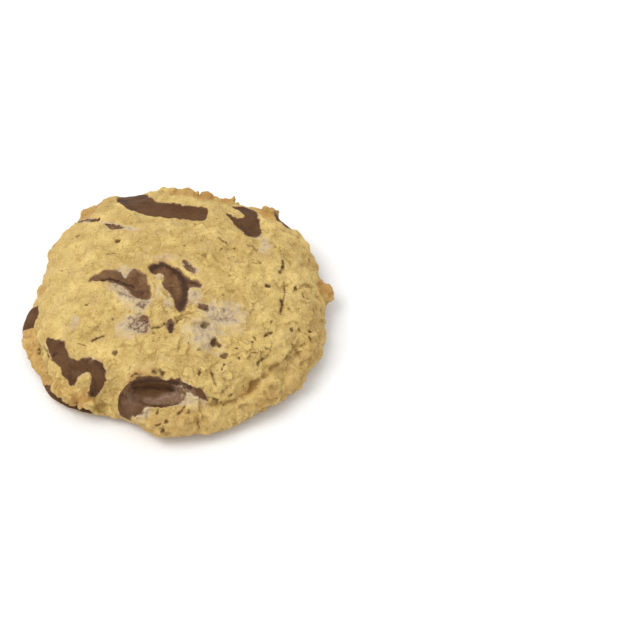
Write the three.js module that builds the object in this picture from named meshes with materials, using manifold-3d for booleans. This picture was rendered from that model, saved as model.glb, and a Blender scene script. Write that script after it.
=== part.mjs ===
// A thick, lumpy chocolate chunk cookie. Millimetres, +Z up, the front faces -Y.
// The dough is one solid: a mound on a thin skirt, with lumps, toasted knobs and creases. Each chunk
// of chocolate that shows is a solid of its own, set in a socket that is cut out of the dough.
import * as THREE from "three";
import { ImprovedNoise } from "three/addons/math/ImprovedNoise.js";
import { mergeVertices } from "three/addons/utils/BufferGeometryUtils.js";
import Module from "manifold-3d";

// Driving dimensions
const TOP = 20; // crown of the smooth mound
const WAIST = 5; // height of the mound's widest line
const SKIRT_TOP = 7.6; // height of the skirt that spread first in the oven
const SKIRT_WAIST = 3;
const MEAN_RADIUS = 42;
const TUCK = 0.1; // share of the radius by which the mound draws in under its waist
const UNDER = 1.5; // how far the raw dough runs below the underside before it is cut flat
const GAP = 0.3; // clearance between a chunk and its socket
const SINK = 0.35; // how far a chunk's face lies under the smooth surface of the mound

// On the left the mound overhangs the skirt
const OVERHANG_ANGLE = 207;
const OVERHANG_SPREAD = 34;
const OVERHANG_RISE = 3.2;

// Mesh fineness: divisions of each edge of an icosahedron
const DOUGH_DETAIL = 18;
const SMOOTH_DETAIL = 10;
const OUTLINE_STEP = 2;

// Radius of each rim every 15 degrees, from +X round towards +Y
const MOUND_RIM = [
  41, 42.8, 43.4, 43.4, 41.2, 39.6, 42.2, 42.2, 43.8, 41.8, 40.6, 38.6,
  37.4, 38.6, 39.4, 40.6, 39.2, 40, 43.2, 43.4, 43.4, 43.9, 43.4, 42.6,
];
const SKIRT_RIM = [
  40, 41, 42, 42.2, 41, 40, 41, 40.5, 41.6, 41, 39.6, 38.4,
  40.6, 43, 42.2, 43.2, 40.4, 38.8, 42.2, 42.8, 42.4, 42.6, 41.8, 40.6,
];

// Broad lumps that stand out of the mound: place in plan, radius and height
const LUMPS = [
  { x: -31.5, y: 11.5, radius: 5.5, height: 1.1 },
  { x: -22.8, y: 9.5, radius: 5, height: 0.9 },
  { x: -3, y: -6, radius: 2.6, height: 0.9 },
  { x: -2.4, y: -12.5, radius: 3.4, height: 1.2 },
  { x: 6.5, y: -17.5, radius: 5, height: 1 },
  { x: 9.8, y: -31.5, radius: 4.2, height: 1.4 },
  { x: 15.5, y: -32.5, radius: 4.5, height: 1.7 },
  { x: 20.5, y: -29.5, radius: 4, height: 1.3 },
  { x: 32, y: -5, radius: 5, height: 0.8 },
  { x: -16.5, y: -21.5, radius: 4, height: 0.9 },
  { x: -29, y: -12, radius: 4.5, height: 0.8 },
  { x: 17, y: 6, radius: 8, height: 0.7 },
  { x: -5, y: 15, radius: 8, height: 0.6 },
  { x: 28, y: 9, radius: 5, height: 0.7 },
  { x: 26, y: -20, radius: 5, height: 0.9 },
];

// Furrows pressed into the mound: plan points, half width and depth
const CREASES = [
  { path: [[9, -36.5], [13.6, -36.2], [18, -34], [21.4, -32.4], [24, -29.8], [25.6, -27.6]], width: 1.7, depth: 1.5 },
  { path: [[3.4, -14], [5.6, -12.4], [9.4, -11.6]], width: 1, depth: 0.8 },
  { path: [[-29, 29], [-24, 25.8], [-18.5, 20.9], [-12.7, 18.4]], width: 1.1, depth: 0.9 },
  { path: [[30, 1.5], [30.6, -3], [29.8, -8.5]], width: 0.9, depth: 0.9 },
  { path: [[-24, -19.3], [-20.4, -18.6], [-17.4, -19.8]], width: 0.9, depth: 0.9 },
  { path: [[0.5, -39.6], [3.5, -38.4]], width: 0.9, depth: 1.2 },
  { path: [[-13.4, -32.5], [-14.8, -35.6], [-17.4, -41]], width: 3, depth: 2.4 },
];

// Hollows where the dough has sunk round the chocolate: centre and half axes of an ellipsoid, which is
// tilted to the front and then turned about the vertical
const HOLLOWS = [
  { at: [-2.8, -35.8, 12.8], size: [8.8, 3.2, 3.1], tilt: 42, turn: -5 },
  { at: [-12.5, -3, 23.2], size: [10.5, 5.4, 4.9], tilt: 0, turn: -38 },
  { at: [1.8, -4.4, 23.4], size: [5, 9.5, 4.9], tilt: 0, turn: 22 },
  { at: [-8.2, -16.4, 21.4], size: [4.6, 3.6, 3.4], tilt: 0, turn: 20 },
];

// Toasted knobs on the rim: centre and radius
const KNOBS = [
  { at: [41.4, 5.2, 5.6], radius: 2.9 },
  { at: [39.8, -2.6, 3.2], radius: 1.6 },
  { at: [39.4, -13.4, 3.8], radius: 2.4 },
  { at: [37.9, 15.5, 8.2], radius: 2 },
  { at: [33.4, 23.6, 9.4], radius: 2.1 },
  { at: [26.4, 28.8, 12], radius: 3 },
  { at: [28.6, 29.6, 10.4], radius: 2.6 },
  { at: [14.6, 34, 11.4], radius: 1.4 },
  { at: [7.6, 34.6, 12.4], radius: 2.5 },
  { at: [2.2, 36.6, 12.2], radius: 3.2 },
  { at: [-3.4, 36.6, 11.6], radius: 3.2 },
  { at: [-24.4, 31.2, 9.4], radius: 2 },
  { at: [-37, 4.6, 7.4], radius: 1.8 },
  { at: [-40.8, -5, 3.2], radius: 2.3 },
  { at: [-29.8, -29, 6.4], radius: 2.5 },
  { at: [-25.8, -32, 6.9], radius: 2.8 },
  { at: [-21.6, -33.5, 7.1], radius: 2.6 },
];

// Chunks of chocolate: outline in plan, height of the hidden underside and, where dough lies over one, its top
const CHUNKS = {
  chunk_back: {
    outline: [
      [-17, 38.4], [-13, 39], [-9.4, 37.2], [-7.4, 33.2], [-5, 30.4], [-1, 29.7], [2.4, 28.9], [5.4, 28.4],
      [8.4, 27.6], [8.8, 24.8], [8.4, 21.6], [6.2, 21.7], [2.6, 22.6], [-1.4, 22.9], [-5.4, 23.6],
      [-9.2, 24.2], [-12.2, 25.6], [-14.4, 28.6], [-16.4, 32.4], [-17.4, 35.6],
    ],
    base: 6,
  },
  chunk_back_right: {
    outline: [
      [14.2, 25.6], [16.4, 21.6], [19.2, 18.4], [21, 15.8], [24.2, 16.8], [23.8, 21.2],
      [23.2, 27], [21.8, 30.6], [18.8, 31.6], [15.8, 30], [19.2, 27.4], [19.4, 24.8], [17.2, 24.4],
    ],
    base: 7,
  },
  chunk_back_left: {
    outline: [[-29.4, 28.8], [-27.4, 29.6], [-25.6, 28.2], [-23.4, 26], [-21.2, 24.4], [-21.6, 23.6], [-24, 25], [-26.6, 27]],
    base: 8,
  },
  chunk_back_left_low: {
    outline: [[-19.4, 20.9], [-17.7, 21.1], [-16.2, 20.4], [-14.6, 19.2], [-13.6, 18.3], [-15.6, 18.3], [-17.4, 18.7]],
    base: 10,
  },
  chunk_rim_right: {
    outline: [[28.2, 28.2], [29.4, 30.8], [31.6, 32.2], [34, 30], [32.6, 27.8], [30.4, 26.8]],
    base: 6.5,
  },
  chunk_centre_left: {
    outline: [
      [-22.2, -0.7], [-20.2, 0.6], [-18.4, 2], [-16.6, 2.2], [-14.6, 1.4], [-12.8, 0.4], [-11.2, 1.7], [-9.6, 2],
      [-8, 0.4], [-6.4, -2.2], [-5.4, -5.2], [-5.2, -7.8], [-6.8, -8.6], [-9, -8], [-11.2, -6], [-13.4, -3.6],
      [-15.6, -2], [-18.6, -1.2],
    ],
    base: 12,
  },
  chunk_centre_right: {
    outline: [
      [-6.2, 2], [-5.4, 3.4], [-3.8, 3.9], [-2, 4.4], [-0.2, 3.5], [1.8, 1.7], [3.4, -0.3], [5.4, -1.8],
      [7.6, -2.2], [8.8, -4], [7.2, -4.9], [5.2, -5], [4.9, -8.2], [4.7, -11], [3.6, -13.6], [2.2, -12.4],
      [1, -8.4], [-0.2, -6.2], [-1.6, -3.6], [-1.8, -1], [-3.2, 0.8], [-4.9, 0.7],
    ],
    base: 12,
  },
  chunk_centre_low: {
    outline: [
      [-10, -17.4], [-9.4, -15.6], [-8, -14.4], [-6.6, -14], [-5.4, -15.6], [-4.6, -17.8], [-5.4, -19.6],
      [-7.2, -19.6], [-8.8, -18.6],
    ],
    base: 13.5,
  },
  chunk_front_left: {
    outline: [
      [-32.8, -17.9], [-30.8, -18.2], [-28.7, -19.4], [-27.4, -22.2], [-26.4, -24.7], [-24.6, -25.7],
      [-22.6, -25.2], [-20.8, -24.8], [-18.8, -25.8], [-17, -27.4], [-16.3, -29.8], [-16.8, -31.9],
      [-18.4, -33.6], [-20, -33.6], [-20.3, -32.2], [-20, -30.2], [-21.2, -28.9], [-22.6, -29.2],
      [-24, -30.7], [-25.6, -31.2], [-27.2, -29.8], [-28.4, -27.4], [-29.8, -25.4], [-31.4, -23.4], [-32.4, -20.8],
    ],
    base: 5,
  },
  chunk_front: {
    outline: [
      [-13.4, -35.8], [-12, -34.1], [-9.4, -32.6], [-6.9, -31.8], [-4.6, -31.6], [-1.4, -32.2], [1.8, -32.8],
      [5.4, -33.6], [8.2, -34.8], [11, -36.4], [9.1, -37], [6.4, -36.4], [3.8, -37], [1.7, -37.8],
      [-0.6, -38.4], [-4.7, -38.6], [-7, -39.4], [-9.8, -38.8], [-12.4, -37.4],
    ],
    base: 4.5,
  },
  chunk_left: {
    outline: [[-36.8, 0.6], [-40.6, 1.2], [-45.6, -1], [-45.6, -4.2], [-41, -6.6], [-37, -5.6]],
    base: 1.4,
    top: 5.6,
  },
  chunk_under_lip: {
    outline: [[-35.6, -25.6], [-33, -31], [-28.4, -35.6], [-21.6, -38.6], [-19.6, -35.4], [-25.4, -31.6], [-30.6, -27]],
    base: 2.6,
    top: 4.6,
  },
  chip_hole: {
    outline: [[-0.2, -17.5], [0.9, -16.4], [1.8, -17.8], [1.7, -19.4], [0.7, -20.2], [0, -19]],
    base: 16,
  },
  chip_right: {
    outline: [[7.9, -11.2], [8.9, -10.4], [10.4, -10.7], [11.2, -11.6], [10.2, -12.9], [8.6, -12.4]],
    base: 16.5,
  },
  chip_top: {
    outline: [[3, 5], [4.8, 4.6], [6.4, 2.9], [7.2, 1.2], [6.6, 0], [5.2, 0.6], [3.8, 2.2], [3.1, 3.6]],
    base: 16.5,
  },
};

const DOUGH = new THREE.MeshStandardMaterial({ color: 0xd9b56c, roughness: 0.9, metalness: 0 });
const CHOCOLATE = new THREE.MeshStandardMaterial({ color: 0x6b4a37, roughness: 0.55, metalness: 0 });

const noise = new ImprovedNoise();
const wasm = await Module();
wasm.setup();

// Solids from three.js geometry and back

function solidOf(geometry) {
  const bare = geometry.clone();
  bare.deleteAttribute("normal");
  bare.deleteAttribute("uv");
  const merged = mergeVertices(bare, 1e-4);
  return new wasm.Manifold(
    new wasm.Mesh({
      numProp: 3,
      vertProperties: new Float32Array(merged.attributes.position.array),
      triVerts: new Uint32Array(merged.index.array),
    }),
  );
}

function geometryOf(solid) {
  const mesh = solid.getMesh();
  const geometry = new THREE.BufferGeometry();
  geometry.setAttribute("position", new THREE.BufferAttribute(mesh.vertProperties, 3));
  geometry.setIndex(new THREE.BufferAttribute(mesh.triVerts, 1));
  const faceted = geometry.toNonIndexed();
  faceted.computeVertexNormals();
  return faceted;
}

function largestPiece(solid) {
  return solid.decompose().reduce((best, piece) => (piece.volume() > best.volume() ? piece : best));
}

// Relief of the dough

function smoothstep(low, high, value) {
  return THREE.MathUtils.smoothstep(value, low, high);
}

// A fixed draw between 0 and 1 for a cell of space
function draw(i, j, k, salt) {
  const mixed = Math.sin(i * 127.1 + j * 311.7 + k * 74.7 + salt * 53.3) * 43758.5453;
  return mixed - Math.floor(mixed);
}

// Rounded bumps with creases between them, from 0 in a crease to 1 on a crest
function bumps(x, y, z, size, salt) {
  const cell = [x, y, z].map((v) => Math.floor(v / size));
  let nearest = 9;
  for (let i = -1; i <= 1; i++) {
    for (let j = -1; j <= 1; j++) {
      for (let k = -1; k <= 1; k++) {
        const [a, b, c] = [cell[0] + i, cell[1] + j, cell[2] + k];
        const dx = (a + draw(a, b, c, salt)) * size - x;
        const dy = (b + draw(a, b, c, salt + 1)) * size - y;
        const dz = (c + draw(a, b, c, salt + 2)) * size - z;
        nearest = Math.min(nearest, (dx * dx + dy * dy + dz * dz) / (size * size));
      }
    }
  }
  return 1 - Math.min(nearest, 1);
}

function distanceToPath(x, y, path) {
  let best = Infinity;
  for (let i = 1; i < path.length; i++) {
    const [ax, ay] = path[i - 1];
    const [bx, by] = path[i];
    const along = ((x - ax) * (bx - ax) + (y - ay) * (by - ay)) / ((bx - ax) ** 2 + (by - ay) ** 2);
    const t = THREE.MathUtils.clamp(along, 0, 1);
    best = Math.min(best, Math.hypot(x - ax - t * (bx - ax), y - ay - t * (by - ay)));
  }
  return best;
}

function namedRelief(x, y) {
  let height = 0;
  for (const lump of LUMPS) {
    const share = Math.hypot(x - lump.x, y - lump.y) / lump.radius;
    if (share < 1) height += lump.height * (1 - share * share) ** 2;
  }
  return height;
}

function furrows(x, y) {
  let depth = 0;
  for (const { path, width, depth: most } of CREASES) {
    const share = distanceToPath(x, y, path) / width;
    depth = Math.max(depth, most * Math.exp(-share * share));
  }
  return depth;
}

// How far the surface stands off the smooth mound at a point of it, in broad forms and with all its crags
function broadRelief(x, y, z) {
  const warp = 1.6 * noise.noise(x / 5, y / 5, z / 5);
  const swell = 0.9 * noise.noise(x / 15 + 7, y / 15, z / 15);
  const lumps = 2 * (bumps(x + warp, y - warp, z, 8.5, 1) - 0.62);
  return swell + lumps + namedRelief(x, y);
}

function roughRelief(x, y, z) {
  const crags = 0.7 * (bumps(x, y, z, 5.2, 5) - 0.62);
  return broadRelief(x, y, z) + crags - furrows(x, y);
}

// Bodies of revolution with an uneven rim

// A closed smooth line through evenly spaced radii, read at any angle
function rimAt(radii, angle) {
  const count = radii.length;
  const place = ((((angle / (2 * Math.PI)) * count) % count) + count) % count;
  const i = Math.floor(place);
  const t = place - i;
  const [a, b, c, d] = [-1, 0, 1, 2].map((step) => radii[(i + step + count) % count]);
  return b + 0.5 * t * (c - a + t * (2 * a - 5 * b + 4 * c - d + t * (3 * (b - c) + d - a)));
}

// Half a section, as shares of the rim's radius against heights, from the crown to below the underside
function section(top, waist) {
  const points = [];
  const ROUND_STEPS = 48;
  const FLATNESS = 0.8; // under 1 makes a fuller shoulder than an ellipse
  for (let i = 0; i <= ROUND_STEPS; i++) {
    const turn = ((i / ROUND_STEPS) * Math.PI) / 2;
    points.push([Math.sin(turn) ** FLATNESS, waist + (top - waist) * Math.cos(turn)]);
  }
  const SIDE_STEPS = 8;
  for (let i = 1; i <= SIDE_STEPS; i++) {
    const drop = i / SIDE_STEPS;
    points.push([1 - TUCK * drop * drop, waist - (waist + UNDER) * drop]);
  }
  points.push([0, -UNDER]);
  return points;
}

// Reads a section by share of its area, so that the points of a ball spread evenly over the body.
// The hidden bottom counts for little.
function readerOf(points) {
  const BOTTOM_WEIGHT = 0.05;
  const areas = [0];
  for (let i = 1; i < points.length; i++) {
    const [r0, z0] = points[i - 1];
    const [r1, z1] = points[i];
    const weight = i === points.length - 1 ? BOTTOM_WEIGHT : 1;
    areas.push(areas[i - 1] + weight * Math.hypot((r1 - r0) * MEAN_RADIUS, z1 - z0) * (r0 + r1));
  }
  return (share) => {
    const wanted = share * areas[areas.length - 1];
    const i = Math.max(1, areas.findIndex((area, n) => n > 0 && area >= wanted));
    const part = THREE.MathUtils.clamp((wanted - areas[i - 1]) / (areas[i] - areas[i - 1]), 0, 1);
    const t = i === 1 ? Math.sqrt(part) : part;
    const [r0, z0] = points[i - 1];
    const [r1, z1] = points[i];
    return [r0 + (r1 - r0) * t, z0 + (z1 - z0) * t];
  };
}

// relief(x, y, z) gives how far each point moves out along the surface's normal
function uneven(rim, top, waist, detail, relief, overhang) {
  const ball = new THREE.IcosahedronGeometry(1, detail);
  ball.deleteAttribute("normal");
  ball.deleteAttribute("uv");
  const geometry = mergeVertices(ball, 1e-5);
  const at = geometry.attributes.position;
  const read = readerOf(section(top, waist));
  for (let i = 0; i < at.count; i++) {
    const angle = Math.atan2(at.getY(i), at.getX(i));
    const [share, height] = read((1 - at.getZ(i)) / 2);
    const off = THREE.MathUtils.euclideanModulo(THREE.MathUtils.radToDeg(angle) - OVERHANG_ANGLE + 180, 360) - 180;
    const nearRim = smoothstep(0.7, 1, share);
    const raised = overhang * OVERHANG_RISE * Math.exp(-((off / OVERHANG_SPREAD) ** 2)) * nearRim;
    const r = share * rimAt(rim, angle);
    at.setXYZ(i, r * Math.cos(angle), r * Math.sin(angle), height + raised * smoothstep(0, 3, height));
  }
  geometry.computeVertexNormals();
  const normal = geometry.attributes.normal;
  const moved = at.clone();
  for (let i = 0; i < at.count; i++) {
    const [x, y, z] = [at.getX(i), at.getY(i), at.getZ(i)];
    const out = relief(x, y, z) * smoothstep(-0.5, 3, z);
    moved.setXYZ(i, x + out * normal.getX(i), y + out * normal.getY(i), z + out * normal.getZ(i));
  }
  geometry.setAttribute("position", moved);
  return solidOf(geometry);
}

function knob({ at, radius }, n) {
  const geometry = new THREE.IcosahedronGeometry(radius, 2);
  const p = geometry.attributes.position;
  for (let i = 0; i < p.count; i++) {
    const [x, y, z] = [p.getX(i), p.getY(i), p.getZ(i)];
    const swell = 1 + 0.3 * noise.noise(x / radius + 3.7 * n, y / radius, z / radius);
    p.setXYZ(i, x * swell, y * swell, z * swell * 0.85);
  }
  return solidOf(geometry.translate(...at));
}

function hollow({ at, size, tilt, turn }) {
  const geometry = new THREE.IcosahedronGeometry(1, 3);
  geometry.scale(...size);
  geometry.rotateX(THREE.MathUtils.degToRad(tilt));
  geometry.rotateZ(THREE.MathUtils.degToRad(turn));
  return solidOf(geometry.translate(...at));
}

// Chunks and their sockets

function outlineOf(points) {
  const curve = new THREE.CatmullRomCurve3(
    points.map(([x, y]) => new THREE.Vector3(x, y, 0)),
    true,
  );
  const steps = Math.max(10, Math.round(curve.getLength() / OUTLINE_STEP));
  const line = curve.getSpacedPoints(steps).slice(0, -1).map((p) => new THREE.Vector2(p.x, p.y));
  return THREE.ShapeUtils.isClockWise(line) ? line.reverse() : line;
}

// Moves each point of an anticlockwise outline outwards
function grown(line, by) {
  const count = line.length;
  return line.map((p, i) => {
    const before = line[(i + count - 1) % count];
    const after = line[(i + 1) % count];
    const along = after.clone().sub(before).normalize();
    return new THREE.Vector2(p.x + along.y * by, p.y - along.x * by);
  });
}

function column(line, base, top) {
  const shape = new THREE.Shape(line);
  const geometry = new THREE.ExtrudeGeometry(shape, { depth: top - base, bevelEnabled: false });
  return solidOf(geometry.translate(0, 0, base));
}

// The cookie

const floor = solidOf(new THREE.BoxGeometry(300, 300, 20).translate(0, 0, -10));
const dents = wasm.Manifold.union(HOLLOWS.map(hollow));
const plain = () => 0;
const sunk = (x, y, z) => 0.6 * broadRelief(x, y, z) - SINK;

const rough = uneven(MOUND_RIM, TOP, WAIST, DOUGH_DETAIL, roughRelief, 1)
  .add(uneven(SKIRT_RIM, SKIRT_TOP, SKIRT_WAIST, SMOOTH_DETAIL, plain, 0))
  .add(wasm.Manifold.union(KNOBS.map(knob)))
  .subtract(dents)
  .subtract(floor);
const smooth = uneven(MOUND_RIM, TOP, WAIST, SMOOTH_DETAIL, sunk, 1)
  .add(uneven(SKIRT_RIM, SKIRT_TOP, SKIRT_WAIST, SMOOTH_DETAIL, plain, 0))
  .subtract(dents)
  .subtract(floor);

const cookie = new THREE.Group();
let dough = rough;
for (const [name, { outline, base, top = 2 * TOP }] of Object.entries(CHUNKS)) {
  const line = outlineOf(outline);
  const chunk = largestPiece(column(line, base, top).intersect(smooth));
  dough = dough.subtract(column(grown(line, GAP), base - GAP, top + GAP));
  const mesh = new THREE.Mesh(geometryOf(chunk), CHOCOLATE);
  mesh.name = name;
  cookie.add(mesh);
}
const doughMesh = new THREE.Mesh(geometryOf(largestPiece(dough)), DOUGH);
doughMesh.name = "dough";
cookie.add(doughMesh);

// The origin is the middle of the underside
const middle = new THREE.Box3().setFromObject(cookie).getCenter(new THREE.Vector3());
for (const mesh of cookie.children) mesh.position.set(-middle.x, -middle.y, 0);

export default cookie;
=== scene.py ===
"""A thick chocolate chip cookie on a white table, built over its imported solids.

The solids of the dough and the chunks are joined into one baked form, which is remeshed finely and given
the lumps, creases, pits and crumbs of the real thing. The chunks are then cut out of it again along their
outlines, so that dough and chocolate meet without a gap. Lengths in the making are in millimetres, and the
meshes are in metres.
"""

import math

import bpy
import bmesh
import numpy as np
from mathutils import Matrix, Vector, kdtree


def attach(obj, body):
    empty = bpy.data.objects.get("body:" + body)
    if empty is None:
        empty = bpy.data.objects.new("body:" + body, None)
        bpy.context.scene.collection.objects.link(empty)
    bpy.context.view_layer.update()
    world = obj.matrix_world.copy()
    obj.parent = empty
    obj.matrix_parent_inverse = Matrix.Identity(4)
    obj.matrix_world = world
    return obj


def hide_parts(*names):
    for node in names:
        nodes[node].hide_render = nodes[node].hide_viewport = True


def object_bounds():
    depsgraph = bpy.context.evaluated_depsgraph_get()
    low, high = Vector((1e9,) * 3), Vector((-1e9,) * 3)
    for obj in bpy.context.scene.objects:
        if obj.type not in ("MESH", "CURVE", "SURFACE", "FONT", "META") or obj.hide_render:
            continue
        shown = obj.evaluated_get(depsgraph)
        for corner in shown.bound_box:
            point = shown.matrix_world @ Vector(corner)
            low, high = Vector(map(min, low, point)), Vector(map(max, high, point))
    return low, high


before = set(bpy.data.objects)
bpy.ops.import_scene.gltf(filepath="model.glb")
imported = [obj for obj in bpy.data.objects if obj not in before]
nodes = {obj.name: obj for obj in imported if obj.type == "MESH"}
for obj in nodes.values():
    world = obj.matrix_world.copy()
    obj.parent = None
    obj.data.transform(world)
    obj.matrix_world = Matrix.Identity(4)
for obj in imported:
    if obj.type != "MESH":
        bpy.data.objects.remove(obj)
cad_box = [list(corner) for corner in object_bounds()]

MM = 0.001

# The view: degrees above the table, focal length in mm, distance and aim in mm
CAMERA_ELEVATION = 50.0
LENS = 120.0
DISTANCE = 595.9
AIM = (39.68, 0.73, 0.0)

# The light: an even white sky and one large lamp, in metres and watts
SKY_STRENGTH = 0.97
KEY_PLACE = (-0.44, -0.1, 0.88)
KEY_SIZE = 0.6
KEY_POWER = 4.8

FINE = 0.26  # size of the faces that the baked form is made in
CHUNK_FINE = 0.3  # the same for a chunk before it joins the form
GROWN = 0.5  # how far a chunk is grown there, to close its socket
SMOOTH, CRISP_FOOT, CRISP_LIP = 0.5, 0.15, 0.16  # how strongly the facets are smoothed away
SMOOTH_ROUNDS = 30
DOUGH_FACES = 185000  # triangles left in the joined form
OUTLINE_STEP = 0.3  # distance between the points of a chunk's outline
OUTLINE_WAVES = ((3.2, 0.5, 201), (1.5, 0.4, 211), (0.7, 0.16, 221))  # size, reach, salt
CLEAR_ABOVE = 40  # height that is above all of the cookie
ON_WALL, ON_FLOOR = 0.01, 0.005  # a face this near to a cutter's wall or floor lies on it
REACH = 5  # how far from a chunk its distance is worked out
FAR = 99.0  # a distance farther than any that matters

# The relief: sizes and depths in mm
RIM = (33, 41)  # distances from the middle between which the rim sets in
SWELLS = ((5.5, 0.6, 1.0, 4), (3.2, 0.46, 0.5, 2), (1.7, 0.25, 0.0, 5))  # size, height, warp, salt
RIPPLES = ((0.9, 0.17, 6), (0.55, 0.14, 7))  # size, height, salt
LUMP, LUMP_HEIGHT = 6.2, 0.5
BUMP, BUMP_HEIGHT = 1.4, 0.08
SEAM_DEPTH = 0.3
LAYER, LAYER_HEIGHT = 8.5, 0.75
SPLIT, SPLIT_DEPTH = 3.6, 0.32
CRAG, CRAG_HEIGHT = 1.9, 0.7
HOLE_SPACING, HOLE_DEPTH = 4.0, 0.5
DOT_SPACING, DOT_DEPTH = 1.7, 0.2
CHOCOLATE_LOWER = 0.25
NEAR_ROUNDS, FAR_ROUNDS = 12, 60  # rounds of smoothing that give the level a crest or crease is seen against
UNDERCUT = 3.4  # how far the edge turns in where it meets the table
UNDERCUT_HEIGHT = 2.8
RIM_CRUMBS = 44  # crumbs strewn over the rim, besides the ones in the table below
RIM_CRUMB_SIZES = (0.3, 0.6)

# The chunks: outline in plan, height of the hidden underside and, where dough lies over one, its top.
# The outlines are measured from a point that SHIFT takes to the frame's origin.
SHIFT = (-1.008, 0.403)
CHUNKS = {
    "chunk_back": ([
        (-17, 38.4), (-13, 39), (-9.4, 37.2), (-7.4, 33.2), (-5, 30.4), (-1, 29.7), (2.4, 28.9),
        (5.4, 28.4), (8.4, 27.6), (8.8, 24.8), (8.4, 21.6), (6.2, 21.7), (2.6, 22.6), (-1.4, 22.9),
        (-5.4, 23.6), (-9.2, 24.2), (-12.2, 25.6), (-14.4, 28.6), (-16.4, 32.4), (-17.4, 35.6)], 6, None),
    "chunk_back_right": ([
        (14.2, 25.6), (16.4, 21.6), (19.2, 18.4), (21, 15.8), (24.2, 16.8), (23.8, 21.2), (23.2, 27),
        (21.8, 30.6), (18.8, 31.6), (15.8, 30), (19.2, 27.4), (19.4, 24.8), (17.2, 24.4)], 7, None),
    "chunk_back_left": ([
        (-29.4, 28.8), (-27.4, 29.6), (-25.6, 28.2), (-23.4, 26), (-21.2, 24.4), (-21.6, 23.6),
        (-24, 25), (-26.6, 27)], 8, None),
    "chunk_back_left_low": ([
        (-19.4, 20.9), (-17.7, 21.1), (-16.2, 20.4), (-14.6, 19.2), (-13.6, 18.3), (-15.6, 18.3),
        (-17.4, 18.7)], 10, None),
    "chunk_rim_right": ([
        (28.2, 28.2), (29.4, 30.8), (31.6, 32.2), (34, 30), (32.6, 27.8), (30.4, 26.8)], 6.5, None),
    "chunk_centre_left": ([
        (-22.2, -0.7), (-20.2, 0.6), (-18.4, 2), (-16.6, 2.2), (-14.6, 1.4), (-12.8, 0.4), (-11.2, 1.7),
        (-9.6, 2), (-8, 0.4), (-6.4, -2.2), (-5.4, -5.2), (-5.2, -7.8), (-6.8, -8.6), (-9, -8),
        (-11.2, -6), (-13.4, -3.6), (-15.6, -2), (-18.6, -1.2)], 12, None),
    "chunk_centre_right": ([
        (-6.2, 2), (-5.4, 3.4), (-3.8, 3.9), (-2, 4.4), (-0.2, 3.5), (1.8, 1.7), (3.4, -0.3),
        (5.4, -1.8), (7.6, -2.2), (8.8, -4), (7.2, -4.9), (5.2, -5), (4.9, -8.2), (4.7, -11),
        (3.6, -13.6), (2.2, -12.4), (1, -8.4), (-0.2, -6.2), (-1.6, -3.6), (-1.8, -1), (-3.2, 0.8),
        (-4.9, 0.7)], 12, None),
    "chunk_centre_low": ([
        (-10, -17.4), (-9.4, -15.6), (-8, -14.4), (-6.6, -14), (-5.4, -15.6), (-4.6, -17.8),
        (-5.4, -19.6), (-7.2, -19.6), (-8.8, -18.6)], 13.5, None),
    "chunk_front_left": ([
        (-32.8, -17.9), (-30.8, -18.2), (-28.7, -19.4), (-27.4, -22.2), (-26.4, -24.7), (-24.6, -25.7),
        (-22.6, -25.2), (-20.8, -24.8), (-18.8, -25.8), (-17, -27.4), (-16.3, -29.8), (-16.8, -31.9),
        (-18.4, -33.6), (-20, -33.6), (-20.3, -32.2), (-20, -30.2), (-21.2, -28.9), (-22.6, -29.2),
        (-24, -30.7), (-25.6, -31.2), (-27.2, -29.8), (-28.4, -27.4), (-29.8, -25.4), (-31.4, -23.4),
        (-32.4, -20.8)], 5, None),
    "chunk_front": ([
        (-13.4, -35.8), (-12, -34.1), (-9.4, -32.6), (-6.9, -31.8), (-4.6, -31.6), (-1.4, -32.2),
        (1.8, -32.8), (5.4, -33.6), (8.2, -34.8), (11, -36.4), (9.1, -37), (6.4, -36.4), (3.8, -37),
        (1.7, -37.8), (-0.6, -38.4), (-4.7, -38.6), (-7, -39.4), (-9.8, -38.8), (-12.4, -37.4)], 4.5, None),
    "chunk_left": ([
        (-36.8, 0.6), (-40.6, 1.2), (-45.6, -1), (-45.6, -4.2), (-41, -6.6), (-37, -5.6)], 1.4, 5.6),
    "chunk_under_lip": ([
        (-35.6, -25.6), (-33, -31), (-28.4, -35.6), (-21.6, -38.6), (-19.6, -35.4), (-25.4, -31.6),
        (-30.6, -27)], 2.6, 4.6),
    "chip_hole": ([
        (-0.2, -17.5), (0.9, -16.4), (1.8, -17.8), (1.7, -19.4), (0.7, -20.2), (0, -19)], 16, None),
    "chip_right": ([
        (7.9, -11.2), (8.9, -10.4), (10.4, -10.7), (11.2, -11.6), (10.2, -12.9), (8.6, -12.4)], 16.5, None),
    "chip_top": ([
        (3, 5), (4.8, 4.6), (6.4, 2.9), (7.2, 1.2), (6.6, 0), (5.2, 0.6), (3.8, 2.2),
        (3.1, 3.6)], 16.5, None),
}

# The marks in the tables below are measured, in millimetres, from a point that lies here in the frame
MARKS_FROM = np.array([-0.42, 0.18, 0.0])

# The pocket in the front chunk, whose lip stays crisp: centre and half sizes
POCKET = ((-3.4, -35.6, 12.8), (9.4, 4.2, 4.2))

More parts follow.
